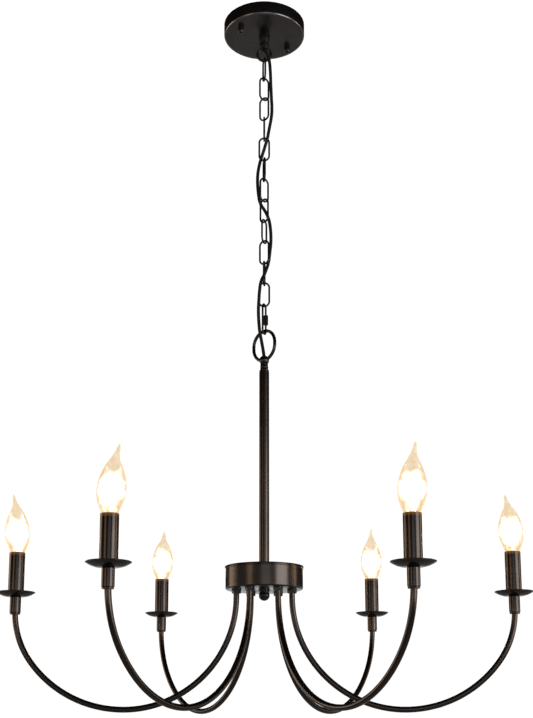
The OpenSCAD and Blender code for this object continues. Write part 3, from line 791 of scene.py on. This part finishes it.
def make_lamp_base(number):
    """Screw base: a rolled thread, an insulator cone and the centre contact."""
    node = f"bulb_base_{number}"
    low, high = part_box(node)
    middle = centre_of(node)
    foot = foot_of(node, middle.x, middle.y)
    shell_low = low.z + THREAD_FOOT
    rings = []
    for k in range(THREAD_STEPS + 1):
        z = shell_low + (high.z - shell_low) * k / THREAD_STEPS
        depth = THREAD_DEPTH * min(1, (z - shell_low) / FADE_IN, (high.z - z) / FADE_OUT)
        ring = []
        for i in range(THREAD_SIDES):
            turn = z / THREAD_PITCH - i / THREAD_SIDES
            groove = depth * (0.5 - 0.5 * math.cos(2 * math.pi * turn))
            ring.append(Vector((middle.x, middle.y, 0)) + polar(THREAD_R - groove, 360 * i / THREAD_SIDES, z))
        rings.append(ring)
    name = f"bulb_screw_{number}"
    screw = add_piece(name, rings_mesh(name, rings), SLOTS["lamp_base_brass"], 50)
    cone = lathe_mesh("insulator", rounded(CONE_OUTLINE), foot, 40)
    insulator = add_piece(f"bulb_insulator_{number}", cone, SLOTS["cord_jacket"])
    button = lathe_mesh("contact", rounded(CONTACT_OUTLINE), foot, 32)
    contact = add_piece(f"bulb_contact_{number}", button, SLOTS["lamp_base_brass"])
    for piece in (screw, insulator, contact):
        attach(piece, node)
    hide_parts(node)


for arm, (heading, tip_heading) in enumerate(zip(HEADINGS, TIP_HEADINGS), 1):
    place = centre_of(f"bulb_glass_{arm}")
    lamp_foot = Vector((place.x, place.y, GLASS_FOOT))
    make_glass(arm, lamp_foot, polar(1, tip_heading))
    make_filament(arm, lamp_foot, heading)
    make_lamp_base(arm)
    make_candle(arm, place.x, place.y)

# ---- studio ----

FLOOR_Z = -2.4
FLOOR_HALF = 60.0
FLOOR_LIT = 9.0  # half width of the part that lights up the chandelier
FLOOR_SEEN = ((0.82, 0.82, 0.81), (0.86, 0.86, 0.85))
FLOOR_MIRRORED = (0.42, 0.42, 0.42)
FLOOR_GLOW = (0.13, 0.62)  # for mirrors and lights, and for the camera
FLOOR_TINT = (1, 0.99, 0.98)


def make_floor():
    """Pale and wide for the camera. Lights and mirrors meet only its middle, and from below it is clear."""
    corners = [(x * FLOOR_HALF, y * FLOOR_HALF, FLOOR_Z) for x, y in ((-1, -1), (1, -1), (1, 1), (-1, 1))]
    mesh = mesh_of("floor", corners, [(0, 1, 2, 3)])
    material, tree, shader = new_material("pale_floor")
    camera_ray = add_node(tree, "ShaderNodeLightPath").outputs["Is Camera Ray"]
    tone = vary(tree, object_noise(tree, scale=0.6, detail=2), 0, 1)
    colour = blend_colour(tree, camera_ray, FLOOR_MIRRORED, blend_colour(tree, tone, *FLOOR_SEEN))
    tree.links.new(colour, shader.inputs["Base Color"])
    tree.links.new(spread(tree, camera_ray, 0, 1, *FLOOR_GLOW), shader.inputs["Emission Strength"])
    shader.inputs["Emission Color"].default_value = (*FLOOR_TINT, 1)
    shader.inputs["Roughness"].default_value = 0.9
    axes = place_axes(tree, "Object")
    across = [arithmetic(tree, "ABSOLUTE", axes[axis]) for axis in ("X", "Y")]
    outside = arithmetic(tree, "GREATER_THAN", arithmetic(tree, "MAXIMUM", *across), FLOOR_LIT)
    unseen = arithmetic(tree, "SUBTRACT", outside, camera_ray)
    below = add_node(tree, "ShaderNodeNewGeometry").outputs["Backfacing"]
    clear = add_node(tree, "ShaderNodeBsdfTransparent")
    surface = add_node(tree, "ShaderNodeMixShader")
    tree.links.new(arithmetic(tree, "MAXIMUM", unseen, below), surface.inputs["Fac"])
    tree.links.new(shader.outputs[0], surface.inputs[1])
    tree.links.new(clear.outputs[0], surface.inputs[2])
    tree.links.new(surface.outputs[0], tree.nodes["Material Output"].inputs["Surface"])
    mesh.materials.append(material)
    floor = bpy.data.objects.new("floor", mesh)
    bpy.context.scene.collection.objects.link(floor)


LIGHT_RADIUS = 2.5
LIGHT_LOW, LIGHT_HIGH = -1.3, -0.05
WARM, GREY, COOL = (1.0, 0.76, 0.56), (0.8, 0.87, 1.0), (0.9, 0.93, 1.0)


def soft_light(name, heading, width, radiance, colour):
    """An upright soft box facing the chandelier. Headings run from the front towards the right."""
    height = LIGHT_HIGH - LIGHT_LOW
    data = bpy.data.lights.new(name, "AREA")
    data.shape = "RECTANGLE"
    data.size, data.size_y = width, height
    data.energy = radiance * math.pi * width * height
    data.color = colour
    light = bpy.data.objects.new(name, data)
    turn = math.radians(heading)
    middle = Vector((0, 0, (LIGHT_LOW + LIGHT_HIGH) / 2))
    light.location = middle + LIGHT_RADIUS * Vector((math.sin(turn), -math.cos(turn), 0))
    light.rotation_euler = (middle - light.location).to_track_quat("-Z", "Y").to_euler()
    light.visible_camera = False
    bpy.context.scene.collection.objects.link(light)


WALL = 1.05  # just over white, so that no part of it turns grey
# Brightness of the mirrored room, from straight down (0) over level (0.5) to straight up (1).
ROOM = [(0, 0.3), (0.42, 1.25), (0.495, 1.25), (0.515, 0.02), (0.85, 0.012), (1, 0.1)]


def make_world():
    """White behind the object; what the metal mirrors is a dim room that is bright just under level."""
    world = bpy.data.worlds.new("studio")
    bpy.context.scene.world = world
    world.use_nodes = True
    tree = world.node_tree
    tree.nodes.clear()
    share = spread(tree, place_axes(tree, "Generated")["Z"], -1, 1, 0, 1)
    room = add_node(tree, "ShaderNodeBackground")
    tree.links.new(number_ramp(tree, share, ROOM), room.inputs["Strength"])
    white = add_node(tree, "ShaderNodeBackground")
    white.inputs["Color"].default_value = (1, 1, 1, 1)
    white.inputs["Strength"].default_value = WALL
    camera_ray = add_node(tree, "ShaderNodeLightPath").outputs["Is Camera Ray"]
    mix = add_node(tree, "ShaderNodeMixShader")
    tree.links.new(camera_ray, mix.inputs["Fac"])
    tree.links.new(room.outputs[0], mix.inputs[1])
    tree.links.new(white.outputs[0], mix.inputs[2])
    out = add_node(tree, "ShaderNodeOutputWorld")
    tree.links.new(mix.outputs[0], out.inputs["Surface"])


make_floor()
make_world()
soft_light("warm_far_left", -106, 1.45, 3.3, WARM)
soft_light("warm_left", -40, 0.75, 2.6, WARM)
soft_light("grey_front", 6, 1.2, 1.4, GREY)
soft_light("bright_right", 54, 1.6, 7.0, COOL)
soft_light("warm_far_right", 99, 0.7, 4.2, WARM)
bpy.context.scene.view_settings.view_transform = "Standard"
